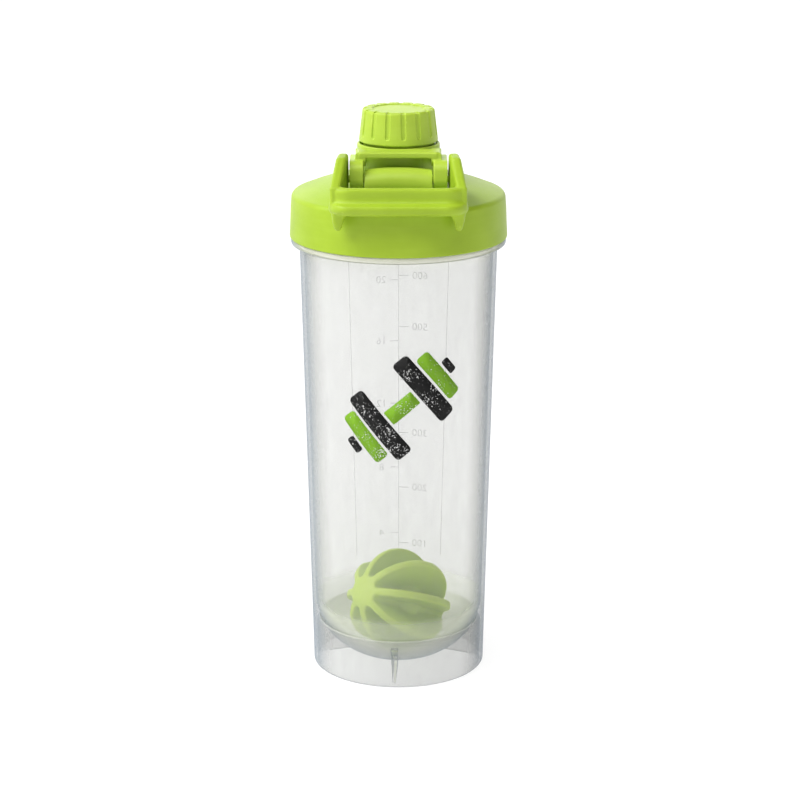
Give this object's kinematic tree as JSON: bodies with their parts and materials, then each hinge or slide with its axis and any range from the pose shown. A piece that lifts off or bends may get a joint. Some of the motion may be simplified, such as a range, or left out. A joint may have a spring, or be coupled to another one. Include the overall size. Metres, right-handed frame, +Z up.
{
  "type": "protein shaker bottle",
  "caption": "Tall tapered clear shaker cup with a bowl base, a screw lid with a capped drinking spout on a flip arm, a carry handle and a loose finned mixing ball.",
  "frame": {"origin": "on the bottle's axis, in the plane of the foot ring that the bottle stands on", "axes": "+Z up along the bottle's axis, -Y towards the side where the carry handle hangs, +X to the right as seen from that side"},
  "size_m": [0.0882, 0.095, 0.235],
  "materials": {
    "clear_cup": "frosted translucent polypropylene, smooth outside",
    "lid_plastic": "satin moulded polypropylene, lime green",
    "ball_plastic": "satin moulded plastic, lime green",
    "silicone": "soft matt silicone"
  },
  "bodies": {
    "cup": {"cup_body": "clear_cup"},
    "ball": {"mixer_ball": "ball_plastic"},
    "gasket": {"lid_gasket": "silicone"},
    "lid": {"lid_shell": "lid_plastic", "hinge_pin_left": "lid_plastic", "hinge_pin_right": "lid_plastic"},
    "arm": {"flip_arm": "lid_plastic"},
    "seal": {"cap_seal": "silicone"},
    "cap": {"cap_core": "lid_plastic", "cap_shell": "lid_plastic"},
    "handle": {"carry_handle": "lid_plastic"}
  },
  "joints": [
    {"name": "ball_lift", "type": "slide", "parent": "cup", "child": "ball", "axis": [0, 0, 1], "range_m": [0, 0.14]},
    {"name": "lid_lift", "type": "slide", "parent": "cup", "child": "gasket", "axis": [0, 0, 1], "range_m": [0, 0.01201]},
    {"name": "lid_turn", "type": "hinge", "parent": "gasket", "child": "lid", "pos_m": [0, 0, 0.183], "axis": [0, 0, 1], "range_deg": [0, 720]},
    {"name": "arm_swing", "type": "hinge", "parent": "lid", "child": "arm", "pos_m": [0, -0.0255, 0.211], "axis": [1, 0, 0], "range_deg": [0, 115]},
    {"name": "cap_lift", "type": "slide", "parent": "arm", "child": "seal", "axis": [0, 0, 1], "range_m": [0, 0.00376]},
    {"name": "cap_turn", "type": "hinge", "parent": "seal", "child": "cap", "pos_m": [0, 0, 0.222], "axis": [0, 0, 1], "range_deg": [0, 450]},
    {"name": "handle_swing", "type": "hinge", "parent": "lid", "child": "handle", "pos_m": [0, -0.0255, 0.211], "axis": [-1, 0, 0], "range_deg": [0, 100]}
  ],
  "couplings": [
    {"joint": "lid_lift", "follows": "lid_turn", "m_per_rad": 0.00095493},
    {"joint": "cap_lift", "follows": "cap_turn", "m_per_rad": 0.00047746}
  ]
}
